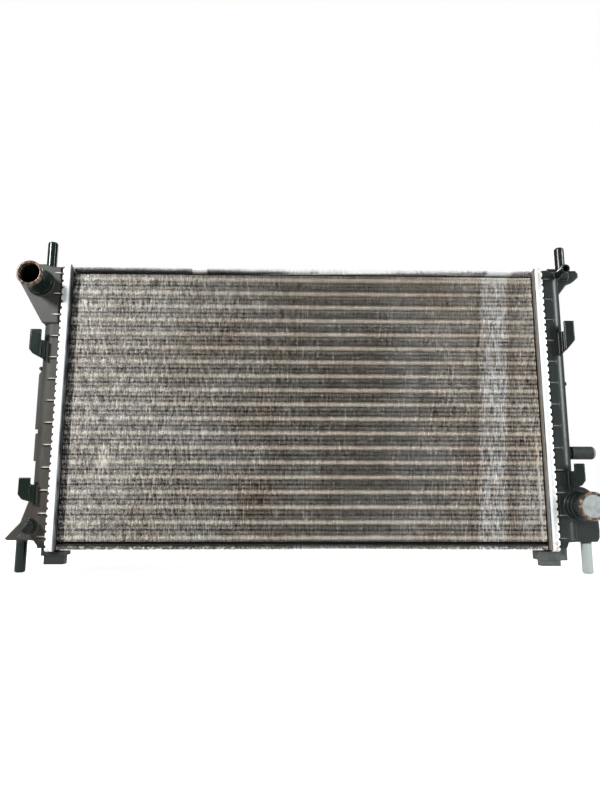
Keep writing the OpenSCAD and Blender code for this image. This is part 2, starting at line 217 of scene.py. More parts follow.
def plain_material(name, colour, roughness):
    """An even surface with only a faint mottle."""
    material, tree, shader, coords = new_material(name)
    cloud = span(tree, noise(tree, coords, 0.15), 0.3, 0.7)
    shade = tuple(0.97 * c for c in colour)
    tree.links.new(mix(tree, cloud, shade, colour), shader.inputs["Base Color"])
    shader.inputs["Roughness"].default_value = roughness
    return material


def worn_material(name, colours, patch, grain, roughness, metallic, grain_depth, specular=0.5, tip=None):
    """Two tones in soft patches under a fine grain, a pair of roughnesses and a paler (X, colour) tip."""
    material, tree, shader, coords = new_material(name)
    cloud = span(tree, noise(tree, coords, patch), 0.35, 0.65)
    fine = noise(tree, coords, grain, 3.0)
    speck = span(tree, fine, 0.62, 0.75)
    base = mix(tree, cloud, colours[0], colours[1])
    base = mix(tree, maths(tree, "MULTIPLY", speck, 0.5), base, colours[2])
    if tip:
        base = mix(tree, span(tree, axis_value(tree, coords, "X"), tip[0], tip[0] + 1 * MM), base, tip[1])
    tree.links.new(base, shader.inputs["Base Color"])
    tree.links.new(span(tree, cloud, 0, 1, *roughness), shader.inputs["Roughness"])
    shader.inputs["Metallic"].default_value = metallic
    shader.inputs["Specular IOR Level"].default_value = specular
    bump(tree, shader, fine, grain_depth)
    return material


def axis_value(tree, coords, axis):
    return node(tree, "ShaderNodeSeparateXYZ", {0: coords}).outputs[axis]


RIB_PITCH = 27.7 * MM
RIB_START = 11.5 * MM
RIB_END = 23 * MM


def rib_highlight_and_shadow(tree, coords, base, lift, bright):
    """A painted highlight on the ribs' upper edges, and a painted shadow on the wall below them."""
    height = axis_value(tree, coords, "Z")
    out = maths(tree, "ABSOLUTE", maths(tree, "SUBTRACT", axis_value(tree, coords, "X"), CENTRE.x), 0)
    along = span(tree, out, HALF_W + RIB_START, HALF_W + RIB_START + 1 * MM)
    along = maths(tree, "MULTIPLY", along, span(tree, out, HALF_W + RIB_END, HALF_W + RIB_END - 5 * MM))
    front = span(tree, axis_value(tree, coords, "Y"), CENTRE.y - 16 * MM, CENTRE.y - 17 * MM)
    reach = maths(tree, "MULTIPLY", along, front)
    turns = maths(tree, "DIVIDE", maths(tree, "SUBTRACT", height, CENTRE.z + lift), RIB_PITCH)
    above = maths(tree, "SUBTRACT", maths(tree, "FRACT", maths(tree, "ADD", turns, 0.5), 0), 0.5)
    above = maths(tree, "MULTIPLY", above, RIB_PITCH)
    # Painted shadow below each rib's edge, and a painted highlight along the edge itself.
    shadow = maths(tree, "MULTIPLY", span(tree, above, -2.6 * MM, -1.4 * MM), span(tree, above, 0, -0.4 * MM))
    edge = maths(tree, "MULTIPLY", span(tree, above, -0.3 * MM, 0.2 * MM),
                 span(tree, above, 1.6 * MM, 0.8 * MM))
    base = mix(tree, maths(tree, "MULTIPLY", reach, shadow), base, (0.002, 0.003, 0.002))
    return mix(tree, maths(tree, "MULTIPLY", reach, edge), base, bright)


def tank_material(name, clean, upper, lower, streak, rim_y, dusty, pin, shine, gloss, lift, rib_light_colour):
    """Moulded nylon: clean on spigots, hooks and pins, dusty on flat walls, stained at spigot mouths, with
    painted highlights and shadows at the ribs.
    """
    material, tree, shader, coords = new_material(name)
    height = axis_value(tree, coords, "Z")
    depth = axis_value(tree, coords, "Y")
    down = span(tree, height, CENTRE.z - HALF_H, CENTRE.z + 0.4 * HALF_H)
    cloud = span(tree, noise(tree, coords, 0.03), 0.35, 0.65)
    level = span(tree, maths(tree, "ADD", down, maths(tree, "MULTIPLY", cloud, 0.35)), 0.2, 1.1)
    drips = span(tree, noise(tree, coords, 0.004, 3.0, (1, 1, 9)), 0.5, 0.72)
    fine = noise(tree, coords, 0.0012, 3.0)
    dust = mix(tree, level, lower, upper)
    dust = mix(tree, maths(tree, "MULTIPLY", drips, 0.5), dust, streak)
    wall_y = CENTRE.y - 19.3 * MM
    wall = span(tree, depth, wall_y - 1.5 * MM, wall_y + 0.5 * MM)
    below_top = span(tree, height, CENTRE.z + HALF_H + 3 * MM, CENTRE.z + HALF_H + 1 * MM)
    above_pin = span(tree, height, CENTRE.z - HALF_H + 7 * MM, CENTRE.z - HALF_H + 12 * MM)
    flat = maths(tree, "MULTIPLY", wall, maths(tree, "MULTIPLY", below_top, above_pin))
    share = maths(tree, "MULTIPLY", flat, span(tree, cloud, 0, 1, 0.8 * dusty, dusty))
    base = mix(tree, share, clean, dust)
    stained = span(tree, depth, rim_y + 0.5 * MM, rim_y)
    patchy = maths(tree, "MULTIPLY", stained, span(tree, noise(tree, coords, 0.004), 0.3, 0.5, 0.5, 1.0))
    stain = span(tree, noise(tree, coords, 0.005, 3.0), 0.46, 0.62)
    rim = mix(tree, stain, (0.026, 0.017, 0.012), (0.16, 0.105, 0.07))
    base = mix(tree, patchy, base, rim)
    # Painted highlights on the ribs' upper edges and painted shadows below them.
    base = rib_highlight_and_shadow(tree, coords, base, lift, rib_light_colour)
    across = axis_value(tree, coords, "X")
    outward = span(tree, across, CENTRE.x + 341 * MM, CENTRE.x + 342 * MM)
    lower_pin = span(tree, height, CENTRE.z - HALF_H + 8 * MM, CENTRE.z - HALF_H + 6 * MM)
    base = mix(tree, maths(tree, "MULTIPLY", outward, lower_pin), base, pin)
    tree.links.new(base, shader.inputs["Base Color"])
    tree.links.new(span(tree, share, 0, 1, gloss, 0.6), shader.inputs["Roughness"])
    shader.inputs["Specular IOR Level"].default_value = shine
    bump(tree, shader, fine, 0.06 * MM)
    return material


def tip_share(tree, up):
    return span(tree, maths(tree, "ABSOLUTE", up, 0), SLOT_HIGH - 0.3 * MM, SLOT_HIGH)


def tip_tone(tree, coords, x, up):
    """The bent tips of the fins: dark and pale in short stretches, bright all along in two places."""
    blotch = span(tree, noise(tree, coords, 0.0026, 3.0, (1, 3, 1)), 0.46, 0.62, 0.12, 1)
    upper = span(tree, up, SLOT_HIGH + 1.2 * MM, SLOT_HIGH + 4 * MM, 0.03, 1)
    upper = maths(tree, "MULTIPLY", upper, span(tree, x, CENTRE.x - 20 * MM, CENTRE.x + 60 * MM, 0.3, 0.6))
    lower = span(tree, up, -SLOT_HIGH - 0.5 * MM, -SLOT_HIGH - 3 * MM, 0, 1.1)
    for middle, reach in BRIGHT_TIPS:
        off = maths(tree, "ABSOLUTE", maths(tree, "SUBTRACT", x, CENTRE.x + middle * MM), 0)
        near = span(tree, off, reach * MM, (reach - 2) * MM, 0, 0.8)
        patch = maths(tree, "MULTIPLY", near, span(tree, up, 0, 1 * MM))
        upper = maths(tree, "MAXIMUM", upper, patch)
        blotch = maths(tree, "MAXIMUM", blotch, patch)
    return maths(tree, "MULTIPLY", blotch, maths(tree, "MAXIMUM", upper, lower))


def bent_fin_highlight(tree, coords, x, up):
    """One fin near the right header was bent over in its lower half; it shows as a ragged pale line of painted
    highlight.
    """
    wobble = span(tree, noise(tree, coords, 0.012, 4.0, (9, 9, 1)), 0.3, 0.7, -1.6 * MM, 1.6 * MM)
    lean = maths(tree, "MULTIPLY", up, BENT_SLOPE)
    middle = maths(tree, "ADD", maths(tree, "ADD", lean, wobble), CENTRE.x + BENT_X)
    off = maths(tree, "ABSOLUTE", maths(tree, "SUBTRACT", x, middle), 0)
    line = span(tree, off, 1.7 * MM, 0.9 * MM, 0, 0.75)
    return maths(tree, "MULTIPLY", line, span(tree, up, -30 * MM, -60 * MM))


def knock_highlights(tree, coords, x, up):
    """Small places where fins were knocked, with a painted highlight where they shine: place, half width, half
    height, brightness.
    """
    hatch = span(tree, noise(tree, coords, 0.0014, 3.0, (1, 4, 5)), 0.42, 0.58)
    total = 0.0
    for middle_x, middle_z, half_x, half_z, bright in KNOCK_HIGHLIGHTS:
        off_x = maths(tree, "DIVIDE", maths(tree, "SUBTRACT", x, CENTRE.x + middle_x * MM), half_x * MM)
        off_z = maths(tree, "DIVIDE", maths(tree, "SUBTRACT", up, middle_z * MM), half_z * MM)
        square = maths(tree, "ADD", maths(tree, "MULTIPLY", off_x, off_x),
                       maths(tree, "MULTIPLY", off_z, off_z))
        total = maths(tree, "ADD", total, span(tree, square, 1, 0.3, 0, bright))
    return maths(tree, "MULTIPLY", total, hatch)


def tube_light_and_shade(tree, turns, level, rear_shade, edge_shade, glint):
    """Painted light and shade a tube pitch apart: painted shade at the rear tubes and the front ones' edges, a
    painted highlight on the front ones.
    """
    from_rear = maths(tree, "ABSOLUTE", maths(tree, "SUBTRACT", maths(tree, "FRACT", turns, 0), 0.5), 0)
    from_edge = maths(tree, "ABSOLUTE", maths(tree, "SUBTRACT", from_rear, FRONT_EDGE), 0)
    rear = span(tree, from_rear, LINE_FADE, LINE_HALF, 0, -rear_shade)
    edge = span(tree, from_edge, LINE_FADE, LINE_HALF, 0, -edge_shade)
    bright = span(tree, from_rear, 0.5 - LINE_FADE, 0.5 - LINE_HALF, 0, glint)
    return maths(tree, "ADD", maths(tree, "ADD", rear, edge), maths(tree, "ADD", bright, level))


def fin_colour(tree, coords, tone, dust, band, up):
    """Grey metal from dark to bright, brown under the dust, and cool with painted sheen in the band."""
    grey = ramp(tree, tone, [(0, (0.030, 0.030, 0.029)), (0.5, (0.46, 0.445, 0.42)), (1, (0.94, 0.92, 0.88))])
    brown = ramp(tree, tone, [(0, (0.026, 0.021, 0.016)), (0.5, (0.42, 0.355, 0.285)),
                              (1, (0.88, 0.79, 0.68))])
    cool = ramp(tree, tone, [(0, (0.035, 0.039, 0.043)), (0.5, (0.50, 0.53, 0.56)), (1, (0.90, 0.94, 0.97))])
    clean_tip = span(tree, tip_share(tree, up), 0, 1, 1, 0)
    base = mix(tree, maths(tree, "MULTIPLY", dust, clean_tip), grey, brown)
    # Painted sheen: the band turns cooler and paler.
    base = mix(tree, maths(tree, "MULTIPLY", band, 0.7), base, cool)
    glint = span(tree, noise(tree, coords, 0.0011, 2.0, (1, 3, 1.4)), 0.66, 0.7)
    return mix(tree, maths(tree, "MULTIPLY", glint, 0.7), base, (0.86, 0.83, 0.77))


def fin_material():
    """Thin aluminium plate: painted light and shade in lines between the tubes, brown dust in patches and a
    pale band of painted sheen.
    """
    material, tree, shader, coords = new_material("fin_plate")
    x = axis_value(tree, coords, "X")
    z = axis_value(tree, coords, "Z")
    up = maths(tree, "SUBTRACT", z, CENTRE.z)
    # A pale, cool band of painted sheen where the fins lean more.
    across = maths(tree, "ADD", x, maths(tree, "MULTIPLY", up, -BAND_SLOPE))
    offset = maths(tree, "ABSOLUTE", maths(tree, "SUBTRACT", across, CENTRE.x + BAND_X), 0)
    band = span(tree, offset, BAND_HALF + 2 * MM, BAND_HALF - 5 * MM)
    sheen_streaks = span(tree, noise(tree, coords, 0.004, 3.0, (1, 4, 7)), 0.35, 0.6, 0.25, 1)
    band = maths(tree, "MULTIPLY", band, sheen_streaks)
    beside = span(tree, offset, BAND_HALF + 22 * MM, BAND_HALF + 8 * MM)
    dust = span(tree, noise(tree, coords, 0.09), 0.35, 0.7)
    dust = maths(tree, "MULTIPLY", dust, span(tree, x, CENTRE.x - 260 * MM, CENTRE.x - 60 * MM, 0.35, 1))
    dust = maths(tree, "MAXIMUM", dust, maths(tree, "MULTIPLY", beside, 0.7))
    wander = maths(tree, "MULTIPLY", noise(tree, coords, 0.03, 2.0), 0.05)
    turns = maths(tree, "ADD", maths(tree, "DIVIDE", up, TUBE_PITCH), wander)
    # Painted light and shade between the tubes, softer on the left.
    lines = node(tree, "ShaderNodeMix", {0: span(tree, x, CENTRE.x - 230 * MM, CENTRE.x + 40 * MM),
                                         2: tube_light_and_shade(tree, turns, *LEFT_LINES),
                                         3: tube_light_and_shade(tree, turns, *OTHER_LINES)}).outputs[0]
    streak = span(tree, noise(tree, coords, 0.0016, 3.0, (1, 4, 8)), 0.3, 0.7, -0.26, 0.38)
    speckle = span(tree, noise(tree, coords, 0.0013, 2.0, (1, 4, 1.3)), 0.32, 0.68, -0.24, 0.3)
    streak = maths(tree, "ADD", streak, speckle)
    # Painted shade: the fins are darker next to the left header, in its shadow.
    end = span(tree, x, CENTRE.x - HALF_W + 9.5 * MM, CENTRE.x - HALF_W + 8.5 * MM, 0, -0.35)
    left = span(tree, x, CENTRE.x - 20 * MM, CENTRE.x + 120 * MM, 0, 0.08)
    tone = maths(tree, "ADD", maths(tree, "ADD", lines, streak), maths(tree, "ADD", end, left))
    tone = maths(tree, "SUBTRACT", tone, maths(tree, "MULTIPLY", dust, 0.16))
    # Paler streaks of painted sheen in the band.
    pale = span(tree, noise(tree, coords, 0.0014, 3.0, (1, 4, 12)), 0.4, 0.6, -0.1, 0.42)
    tone = maths(tree, "ADD", tone, maths(tree, "MULTIPLY", band, pale))
    # Painted highlight: the fins just below the upper slot are lighter, where light from above falls on them.
    lip = maths(tree, "MULTIPLY", span(tree, up, SLOT_LOW - 2.2 * MM, SLOT_LOW - 1.6 * MM),
                span(tree, x, CENTRE.x - 40 * MM, CENTRE.x + 20 * MM, 0, 0.45))
    tone = maths(tree, "ADD", tone, lip)
    tone = maths(tree, "ADD", maths(tree, "MULTIPLY", maths(tree, "SUBTRACT", tone, 0.43), 1.3), 0.43)
    # A painted highlight along the bent fin.
    tone = maths(tree, "ADD", tone, bent_fin_highlight(tree, coords, x, up))
    # Painted highlights where knocked fins shine.
    tone = maths(tree, "ADD", tone, knock_highlights(tree, coords, x, up))
    tips = tip_tone(tree, coords, x, up)
    tone = node(tree, "ShaderNodeMix", {0: tip_share(tree, up), 2: tone, 3: tips}).outputs[0]
    base = fin_colour(tree, coords, tone, dust, band, up)
    tree.links.new(base, shader.inputs["Base Color"])
    shader.inputs["Metallic"].default_value = 0.4
    tree.links.new(span(tree, dust, 0, 1, 0.4, 0.6), shader.inputs["Roughness"])
    bump(tree, shader, noise(tree, coords, 0.0015, 3.0), 0.03 * MM)
    return material


def header_material():
    """Bright pressed sheet: painted pale blue highlight on the inner edge, grey middle, brown flux at the
    ends, painted shade in the core.
    """
    material, tree, shader, coords = new_material("header_sheet")
    x = axis_value(tree, coords, "X")
    y = axis_value(tree, coords, "Y")
    z = axis_value(tree, coords, "Z")
    out = maths(tree, "SUBTRACT", maths(tree, "ABSOLUTE", maths(tree, "SUBTRACT", x, CENTRE.x), 0), HALF_W)
    cloud = noise(tree, coords, 0.006, 4.0, (1, 1, 5))
    across = span(tree, out, 0, 11 * MM)
    # Painted shade on the inner flank next to the core, then a painted pale blue highlight on the bend.
    tone = ramp(tree, across, [(0, (0.010, 0.011, 0.012)), (0.12, (0.014, 0.016, 0.018)),
                               (0.2, (0.56, 0.64, 0.70)), (0.34, (0.60, 0.66, 0.70)),
                               (0.44, (0.44, 0.44, 0.435)), (0.68, (0.42, 0.42, 0.415)),
                               (0.82, (0.60, 0.60, 0.59)), (1, (0.50, 0.50, 0.49))])
    base = mix(tree, span(tree, cloud, 0.42, 0.7, 0, 0.45), tone, (0.30, 0.30, 0.285))
    right_flank = maths(tree, "MULTIPLY", span(tree, x, CENTRE.x, CENTRE.x + 1 * MM),
                        span(tree, out, 0.6 * MM, 0.3 * MM))
    dusty = mix(tree, noise(tree, coords, 0.0016, 3.0, (1, 1, 2)), (0.03, 0.027, 0.023), (0.30, 0.27, 0.23))
    base = mix(tree, right_flank, base, dusty)
    drop = maths(tree, "SUBTRACT", CENTRE.z, z)
    low = span(tree, drop, HALF_H - 14 * MM, HALF_H - 6 * MM, 0.12, 1)
    rust = maths(tree, "MULTIPLY", low, span(tree, noise(tree, coords, 0.0022), 0.56, 0.62))
    base = mix(tree, rust, base, (0.22, 0.13, 0.07))
    # Painted shade on the header's inner face where it meets the core.
    inside = span(tree, y, CENTRE.y - HALF_D - 0.6 * MM, CENTRE.y - HALF_D + 0.4 * MM)
    inner = maths(tree, "MULTIPLY", inside, span(tree, out, 2.2 * MM, 1.7 * MM))
    base = mix(tree, inner, base, (0.012, 0.013, 0.014))
    tree.links.new(base, shader.inputs["Base Color"])
    tree.links.new(span(tree, cloud, 0.3, 0.7, 0.3, 0.5), shader.inputs["Roughness"])
    shader.inputs["Metallic"].default_value = 0.25
    bump(tree, shader, noise(tree, coords, 0.0012, 3.0), 0.02 * MM)
    return material


# ---- Meshes ----

def new_piece(name, vertices, faces, node_names, material, body="radiator", smooth=False):
    mesh = bpy.data.meshes.new(name)
    mesh.from_pydata(vertices, [], faces)
    mesh.validate()
    mesh.shade_smooth() if smooth else mesh.shade_flat()
    return adopt(bpy.data.objects.new(name, mesh), node_names, material, body)


def adopt(piece, node_names, material, body):
    """Links a piece, says what it rides on and what it is made of, and hides the CAD nodes it stands for."""
    bpy.context.scene.collection.objects.link(piece)
    piece.data.materials.clear()
    piece.data.materials.append(material)
    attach(piece, body)
    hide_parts(*node_names)
    return piece


def soft_noise(a, b, size_a, size_b, seed):
    """Smooth seeded noise from -1 to 1 over two directions with those feature sizes."""
    cells = 64
    grid = np.random.default_rng(seed).uniform(-1, 1, (cells, cells))
    a, b = np.broadcast_arrays(a / size_a, b / size_b)
    i, j = np.floor(a).astype(int), np.floor(b).astype(int)
    s, t = a - i, b - j
    s, t = s * s * (3 - 2 * s), t * t * (3 - 2 * t)
    low = grid[i % cells, j % cells] * (1 - s) + grid[(i + 1) % cells, j % cells] * s
    high = grid[i % cells, (j + 1) % cells] * (1 - s) + grid[(i + 1) % cells, (j + 1) % cells] * s
    return low * (1 - t) + high * t


class Template:
    """A flat outline in depth and height, made of quads that share their corners."""

    def __init__(self):
        self.points = {}
        self.quads = []

    def quad(self, corners):
        keys = [(round(u, 7), round(v, 7)) for u, v in corners]
        self.quads.append([self.points.setdefault(k, len(self.points)) for k in keys])

    def grid(self, columns, levels):
        for u0, u1 in zip(columns, columns[1:]):
            for v0, v1 in zip(levels, levels[1:]):
                self.quad([(u0, v0), (u1, v0), (u1, v1), (u0, v1)])

    def ring(self, low_u, high_u, levels, centre, radius):
        """A cell with a twelve-sided hole in it; levels are its bottom, low, middle, high and top."""
        u, v = centre
        bottom, low, middle, high, top = levels
        right = [(high_u, middle), (high_u, high), (high_u, top), (u, top)]
        left = [(low_u, top), (low_u, high), (low_u, middle), (low_u, low), (low_u, bottom)]
        outer = right + left + [(u, bottom), (high_u, bottom), (high_u, low)]
        turns = [math.radians(30 * i) for i in range(12)]
        inner = [(u + radius * math.cos(a), v + radius * math.sin(a)) for a in turns]
        for i in range(12):
            j = (i + 1) % 12
            self.quad([inner[i], outer[i], outer[j], inner[j]])

    def rim(self):
        edges = {(q[i], q[(i + 1) % 4]) for q in self.quads for i in range(4)}
        return sorted(e for e in edges if (e[1], e[0]) not in edges)


def pierce(template, inner_u, hole_r, end_v):
    """Two staggered rows of tube holes between -inner_u and inner_u, up to end_v above and below."""
    quarter = TUBE_PITCH / 4
    radius = hole_r / math.cos(math.radians(15))
    last = (FRONT_ROWS - 1) // 2
    for k in range(-last, last + 1):
        v = k * TUBE_PITCH
        levels = [v + i * quarter for i in (-2, -1, 0, 1, 2)]
        if k == last:
            levels[3:] = [(v + end_v) / 2, end_v]
        if k == -last:
            levels[:2] = [-end_v, (v - end_v) / 2]
        template.ring(-inner_u, 0, levels, (-ROW_Y, v), radius)
    for k in range(-last, last):
        v = (k + 0.5) * TUBE_PITCH
        levels = [v + i * quarter for i in (-2, -1, 0, 1, 2)]
        template.ring(0, inner_u, levels, (ROW_Y, v), radius)
    top = last * TUBE_PITCH
    for s in (-1, 1):
        template.grid([0, ROW_Y, inner_u], sorted([s * top, s * (top + end_v) / 2, s * end_v]))
    lines = [k * quarter for k in range(-4 * last, 4 * last + 1)]
    return [-end_v, -(top + end_v) / 2, *lines, (top + end_v) / 2, end_v]


def plates(template, places, thickness, bend):
    """Closed plates cut to the template, one at each place along X. bend(x, u, v) moves them sideways."""
    flat = np.array(sorted(template.points, key=template.points.get))
    u, v = flat[:, 0], flat[:, 1]
    count = len(flat)
    x = np.array(places)[:, None]
    middle = x + bend(x, u[None, :], v[None, :])
    sides = np.stack([middle + thickness / 2, middle - thickness / 2], axis=1)
    vertices = np.empty((len(places), 2, count, 3))
    vertices[..., 0] = sides + CENTRE.x
    vertices[..., 1] = u + CENTRE.y
    vertices[..., 2] = v + CENTRE.z
    front = np.array(template.quads)
    rim = np.array(template.rim())
    wall = np.stack([rim[:, 1], rim[:, 0], rim[:, 0] + count, rim[:, 1] + count], axis=1)
    one = np.concatenate([front, front[:, ::-1] + count, wall])
    step = np.arange(len(places))[:, None, None] * 2 * count
    return vertices.reshape(-1, 3), (one[None] + step).reshape(-1, 4)


# ---- Fins ----

FIN_PITCH = 1.6 * MM
FIN_T = 0.1 * MM
BAND_X = 241 * MM
BAND_HALF = 18 * MM
BAND_SLOPE = 0.052
SLOT_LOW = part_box("upper_side_plate")[0].z - CENTRE.z - 0.05 * MM
SLOT_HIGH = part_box("upper_side_plate")[1].z - CENTRE.z + 0.05 * MM
# A line's half width, where it has faded, and the front tubes' edge, as shares of the tube pitch.
LINE_HALF = 0.03
LINE_FADE = 0.10
FRONT_EDGE = 0.5 - TUBE_R / TUBE_PITCH
# Level, shade before the rear tubes, shade beside the front ones, and light on the front ones.
LEFT_LINES = (0.52, 0.30, 0.15, 0.10)
OTHER_LINES = (0.54, 0.35, 0.25, 0.20)
# Middle and half width in millimetres.
BRIGHT_TIPS = [(-137, 11), (258, 18)]
# Painted highlights where fins were knocked: middle X and Z and half width and height in millimetres, and
# brightness.
KNOCK_HIGHLIGHTS = [(-249, -71, 11, 18, 0.55), (3, -140, 7, 5, 0.6), (-58, 128, 1.2, 8, 0.7), (-128, 158, 7, 7, 0.5),
          (-283, 132, 3, 2, 0.8), (-289, -95, 1.5, 8, 0.6), (60, 40, 2, 6, 0.3), (-270, -150, 9, 5, 0.3)]
BENT_X = 292.5 * MM
BENT_SLOPE = -0.008


def fin_template():
    template = Template()
    edge_u = HALF_D - 2.4 * MM
    levels = pierce(template, edge_u, TUBE_R + 0.03 * MM, SLOT_LOW)
    template.grid([-HALF_D, -edge_u], levels)
    template.grid([edge_u, HALF_D], levels)
    for s in (-1, 1):
        template.grid([edge_u, HALF_D], sorted([s * SLOT_LOW, s * SLOT_HIGH]))
        tip = sorted([s * SLOT_HIGH, s * (SLOT_HIGH + HALF_H) / 2, s * HALF_H])
        template.grid([-HALF_D, -edge_u, 0, edge_u, HALF_D], tip)
    return template


def fin_bend(x, u, v):
    """How far a fin stands sideways: a shallow ripple, and edges that lean, more in the pale band."""
    fold = 0.13 * (HALF_D / 2 - np.abs(u))
    ripple = 0.12 * MM * np.cos(2 * math.pi * v / (TUBE_PITCH / 2)) * np.cos(math.pi * u / HALF_D)
    front = np.clip((-u - 8 * MM) / (HALF_D - 8 * MM), 0, 1)
    rear = np.clip((u - 8 * MM) / (HALF_D - 8 * MM), 0, 1)
    lean = 0.30 * soft_noise(x, v, 14 * MM, 30 * MM, 1) + 0.22 * soft_noise(x, v, FIN_PITCH, 9 * MM, 2)
    off = np.abs(x - BAND_X - BAND_SLOPE * v)
    band = np.clip((BAND_HALF - off) / (2 * MM) + 0.5, 0, 1)
    beside = np.clip((BAND_HALF + 16 * MM - off) / (8 * MM), 0, 1) - band
    lean = lean + 0.3 * band - 0.3 * np.clip(beside, 0, 1)
    lean = lean + np.clip((x - 290 * MM) / (8 * MM), 0, 1)
    back = 0.30 * soft_noise(x, v, 18 * MM, 26 * MM, 3) + 0.18 * soft_noise(x, v, FIN_PITCH, 8 * MM, 4)
    return fold + ripple + MM * (front * lean + rear * back)


def build_fins(material):
    template = fin_template()
    count = int(round(2 * HALF_W / FIN_PITCH))
    places = [(i - (count - 1) / 2) * FIN_PITCH for i in range(1, count - 1)]
    count = len(places)
    end = 7
    banks = 8
    edges = [end + round(i * (count - 2 * end) / banks) for i in range(banks + 1)]
    groups = [("left_end_fin_stack", 0, end, "left_end_fins")]
    groups += [(f"fin_bank_{i + 1}", edges[i], edges[i + 1], "fins") for i in range(banks)]
    groups += [("right_end_fin_stack", count - end, count, "right_end_fins")]
    for name, first, last, node_name in groups:
        vertices, faces = plates(template, places[first:last], FIN_T, fin_bend)
        new_piece(name, vertices, faces, [node_name], material)


# ---- Headers ----

def header_outline(step):
    """Points and outward directions round a header, as (depth, height)."""
    half_d = (HEADER_HIGH.y - HEADER_LOW.y) / 2
    half_h = (HEADER_HIGH.z - HEADER_LOW.z) / 2
    r = 5 * MM
    corners = [(half_d - r, -half_h + r, -90), (half_d - r, half_h - r, 0),
               (-half_d + r, half_h - r, 90), (-half_d + r, -half_h + r, 180)]
    points = []
    for i, (u, v, start) in enumerate(corners):
        for k in range(9):
            a = math.radians(start + 90 * k / 8)
            points.append((u + r * math.cos(a), v + r * math.sin(a), math.cos(a), math.sin(a)))
        next_u, next_v, _ = corners[(i + 1) % 4]
        length = math.hypot(next_u - u, next_v - v)
        count = max(2, round(length / step))
        a = math.radians(start + 90)
        for k in range(1, count):
            t = k / count
            along = (u + (next_u - u) * t, v + (next_v - v) * t)
            points.append((along[0] + r * math.cos(a), along[1] + r * math.sin(a), math.cos(a), math.sin(a)))
    return points


def header_profile():
    """The header's sheet in section, as (distance in from the outline, distance out from the core)."""
    t = 1.6
    rim = (HEADER_HIGH.x - HEADER_LOW.x) / MM
    bend = [(4.5, 0), (3.2, 0), (1.9, 0.35), (0.8, 1.1), (0.2, 2.0), (0, 3.0)]
    outer = [*bend, (0, rim - 1.8), (0.5, rim - 0.5), (1.6, rim), (3.6, rim)]
    inner = [(3.6, rim - t + 0.4), (2.2, rim - t), (t, rim - t - 0.6), (t, t + 0.7), (2.3, t), (4.5, t)]
    return [(d * MM, x * MM) for d, x in outer + inner]


def notch(u, v, du, dv):
    """How deep the crimped edge is cut between its tabs, from 0 to 1."""
    pitch = 9 * MM
    along = v if abs(du) > abs(dv) else u
    off = abs((along / pitch) % 1 - 0.5) * pitch
    radius = 1.9 * MM
    return math.sqrt(max(0, 1 - (off / radius) ** 2))


def build_header(side, material):
    sign = 1 if side == "right" else -1
    outline = header_outline(0.7 * MM)
    profile = header_profile()
    crimp_x = 6.2 * MM
    vertices = []
    for u, v, du, dv in outline:
        cut = 0.42 * notch(u, v, du, dv)
        for d, x in profile:
            lowered = x if x < crimp_x else x - cut * (x - crimp_x)
            place = (sign * (HALF_W + lowered), u - d * du, v - d * dv)
            vertices.append(CENTRE + Vector(place))
    n, m = len(outline), len(profile)
    faces = []
    for i in range(n):
        for j in range(m):
            a, b = i * m, (i + 1) % n * m
            quad = [a + j, b + j, b + (j + 1) % m, a + (j + 1) % m]
            faces.append(quad if sign > 0 else quad[::-1])
    template = Template()
    inner_u = 12.5 * MM
    levels = pierce(template, inner_u, 5.05 * MM, 173 * MM)
    floor_u = 17 * MM
    floor_v = 177.5 * MM
    template.grid([-floor_u, -inner_u], [-floor_v, *levels, floor_v])
    template.grid([inner_u, floor_u], [-floor_v, *levels, floor_v])
    for s in (-1, 1):
        template.grid([-inner_u, -ROW_Y, 0, ROW_Y, inner_u], sorted([s * levels[-1], s * floor_v]))
    middle = sign * (HALF_W + 0.8 * MM)
    sheet, sheet_faces = plates(template, [middle], 1.6 * MM, lambda x, u, v: 0 * u)
    faces += [[k + len(vertices) for k in f] for f in sheet_faces.tolist()]
    vertices += [Vector(p) for p in sheet.tolist()]
    piece = new_piece(f"{side}_header_pressing", vertices, faces, [f"{side}_header"],
                      material)
    smooth_by_angle(piece, 35)


def smooth_by_angle(piece, angle):
    """Smooth shading, but with edges above the angle kept sharp."""
    mesh = piece.data
    mesh.shade_smooth()
    bm = bmesh.new()
    bm.from_mesh(mesh)
    for edge in bm.edges:
        edge.smooth = len(edge.link_faces) == 2 and edge.calc_face_angle(0) < math.radians(angle)
    bm.to_mesh(mesh)
    bm.free()


# ---- Moulded parts ----

def moulded(name, node_name, voxel, steps, most_faces, material, body="radiator"):
    """A copy of a CAD part with its edges rounded as they come out of a mould."""
    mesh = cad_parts[node_name].data.copy()
    bm = bmesh.new()
    bm.from_mesh(mesh)
    bmesh.ops.remove_doubles(bm, verts=bm.verts, dist=0.001 * MM)
    bm.to_mesh(mesh)
    bm.free()
    source = bpy.data.objects.new(name + "_source", mesh)
    bpy.context.scene.collection.objects.link(source)
    remesh = source.modifiers.new("remesh", "REMESH")
    remesh.mode = "VOXEL"
    remesh.voxel_size = voxel
    smooth = source.modifiers.new("smooth", "SMOOTH")
    smooth.factor = 0.5
    smooth.iterations = steps
    made = evaluated(source)
    triangles = sum(len(p.vertices) - 2 for p in made.polygons)
    if triangles > most_faces:
        source.modifiers.clear()
        source.data = made
        decimate = source.modifiers.new("decimate", "DECIMATE")
        decimate.ratio = most_faces / triangles
        made = evaluated(source)
    bpy.data.objects.remove(source)
    made.name = name
    made.shade_smooth()
    return adopt(bpy.data.objects.new(name, made), [node_name], material, body)


def evaluated(source):
    graph = bpy.context.evaluated_depsgraph_get()
    graph.update()
    return bpy.data.meshes.new_from_object(source.evaluated_get(graph))


# ---- Everything together ----

def dress(node_name, material):
    """Gives a CAD node that stays as it is its detailed material."""
    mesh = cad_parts[node_name].data
    mesh.materials.clear()
    mesh.materials.append(material)


